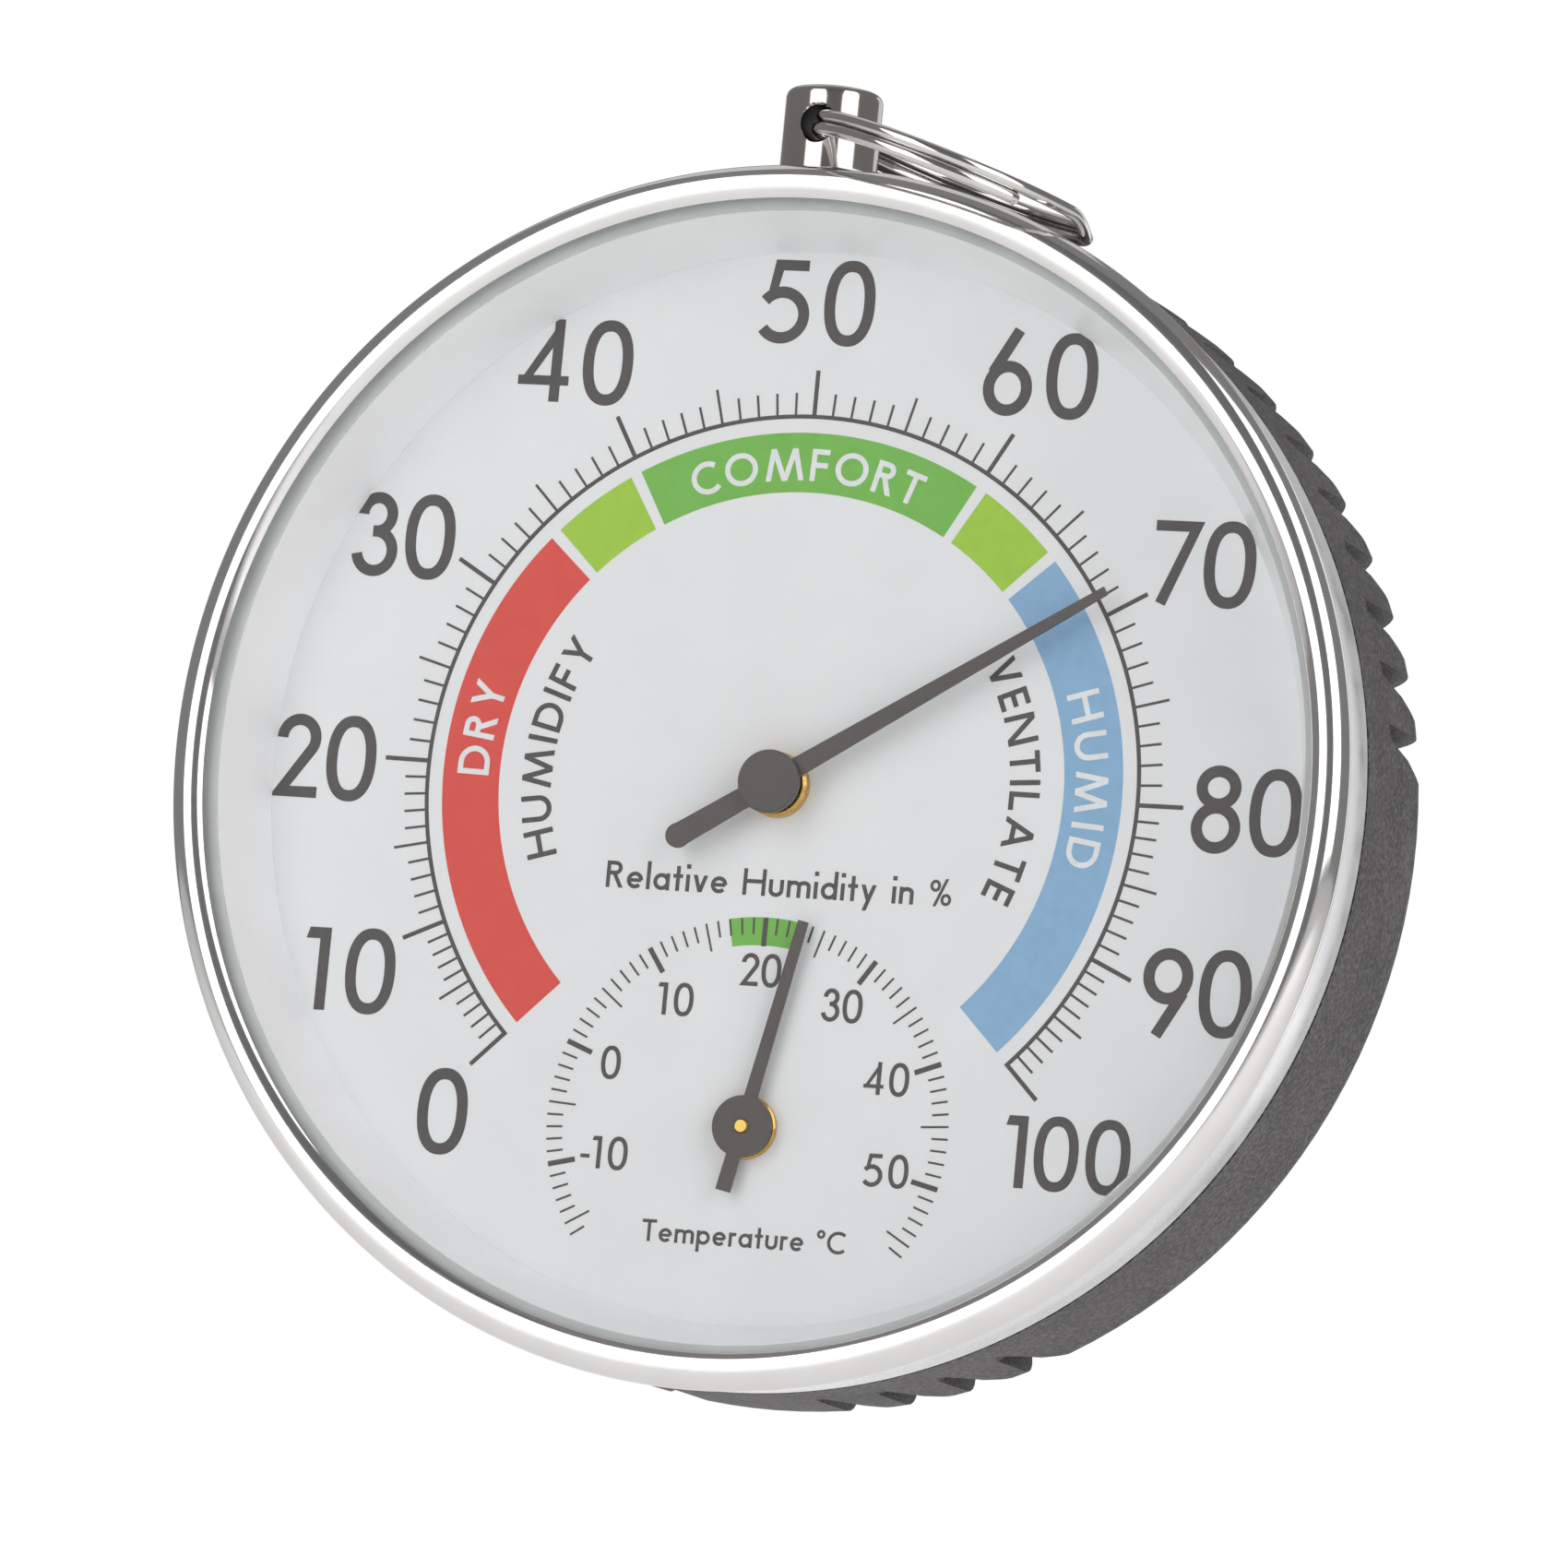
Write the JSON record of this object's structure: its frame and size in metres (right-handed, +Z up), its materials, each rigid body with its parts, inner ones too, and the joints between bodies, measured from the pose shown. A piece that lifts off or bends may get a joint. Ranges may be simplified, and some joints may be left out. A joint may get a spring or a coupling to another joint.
{
  "type": "dial hygrometer",
  "caption": "Round wall hygrometer: a white dial with a humidity pointer, a small inset thermometer, a polished bezel, a dark louvred case and a split ring to hang it.",
  "frame": {"origin": "centre of the rear cover's outer face, which lies against the wall", "axes": "+X to the right of the dial as read, +Z up, and the dial faces -Y"},
  "size_m": [0.101, 0.0344, 0.1081],
  "materials": {
    "case_plastic": "moulded grey plastic with a fine spark-eroded grain",
    "bezel_chrome": "bright chrome plate on the bead, brushed on the side band",
    "lens_glass": "clear flat window",
    "gasket_rubber": "pale elastomer seal",
    "flange_white": "smooth white moulding",
    "dial_white": "satin white paint on aluminium, printed scales",
    "plate_aluminium": "mill-finish sheet",
    "screw_steel": "zinc-plated steel",
    "stud_steel": "turned and nickel-plated steel",
    "ring_steel": "polished spring-steel wire",
    "pointer_grey": "matt grey paint on aluminium",
    "brass": "turned brass, lightly lacquered",
    "arbor_steel": "polished pivot steel",
    "spring_steel": "blued spring strip",
    "bimetal": "rolled bimetal strip",
    "hair": "fine straight fibres",
    "white_acetal": "natural acetal",
    "jewel": "polished red bearing bush"
  },
  "bodies": {
    "case": {"case_body": "case_plastic", "rear_cover": "case_plastic", "rear_cover_screws": "screw_steel", "bezel_ring": "bezel_chrome", "lens": "lens_glass", "lens_gasket": "gasket_rubber", "flange_ring": "flange_white", "dial_plate": "dial_white", "base_plate": "plate_aluminium", "base_plate_screws": "screw_steel", "hanging_stud": "stud_steel", "stud_washer": "screw_steel", "stud_nut": "screw_steel", "humidity_bush": "brass", "hair_bundle": "hair", "roller_axle": "arbor_steel", "roller_clip": "spring_steel", "hairspring": "spring_steel", "hairspring_stud": "arbor_steel", "movement_bridge": "brass", "bridge_pillars": "brass", "pillar_screws": "screw_steel", "bridge_screws": "screw_steel", "rear_pivot_bush": "jewel", "slider_guide": "white_acetal", "guide_cap": "plate_aluminium", "guide_screws": "screw_steel", "friction_washer": "spring_steel", "temperature_bush": "brass", "bimetal_coil": "bimetal", "coil_post": "arbor_steel", "thermo_bracket": "brass", "bracket_screws": "screw_steel"},
    "humidity_needle": {"humidity_arbor": "arbor_steel", "humidity_pointer": "pointer_grey", "pointer_cap": "pointer_grey", "hair_drum": "brass", "hairspring_collet": "brass"},
    "temperature_needle": {"temperature_arbor": "brass", "temperature_pointer": "pointer_grey", "coil_collet": "brass"},
    "hanging_ring": {"split_ring": "ring_steel"},
    "roller": {"guide_roller": "white_acetal"},
    "hair_anchor": {"anchor_slider": "brass", "hair_clamp": "plate_aluminium", "clamp_screw": "screw_steel"},
    "adjuster": {"calibration_screw": "brass"}
  },
  "joints": [
    {"name": "humidity_turn", "type": "hinge", "parent": "case", "child": "humidity_needle", "pos_m": [0, -0.0195, 0], "axis": [0, 1, 0], "range_deg": [-192.7, 77.3], "deforming": ["hairspring", "hair_bundle"]},
    {"name": "temperature_turn", "type": "hinge", "parent": "case", "child": "temperature_needle", "pos_m": [0, -0.0195, -0.0283], "axis": [0, 1, 0], "range_deg": [-136.1, 112.3], "deforming": ["bimetal_coil"]},
    {"name": "ring_swing", "type": "hinge", "parent": "case", "child": "hanging_ring", "pos_m": [0, -0.0219, 0.0543], "axis": [0, -1, 0], "range_deg": [0, 215.6]},
    {"name": "roller_turn", "type": "hinge", "parent": "case", "child": "roller", "pos_m": [-0.0024, -0.0249, 0.03], "axis": [0, 1, 0], "range_deg": [-48.5, 19.5]},
    {"name": "calibration_turn", "type": "hinge", "parent": "case", "child": "adjuster", "pos_m": [-0.02968, -0.0249, -0.00339], "axis": [0, 1, 0], "range_deg": [-35, 35]},
    {"name": "anchor_slide", "type": "slide", "parent": "case", "child": "hair_anchor", "axis": [0.5736, 0, 0.8192], "range_m": [-0.000366, 0.000366], "deforming": ["hair_bundle"]}
  ],
  "couplings": [
    {"joint": "roller_turn", "follows": "humidity_turn", "ratio": 0.25},
    {"joint": "calibration_turn", "follows": "anchor_slide", "rad_per_m": 1666.7}
  ]
}
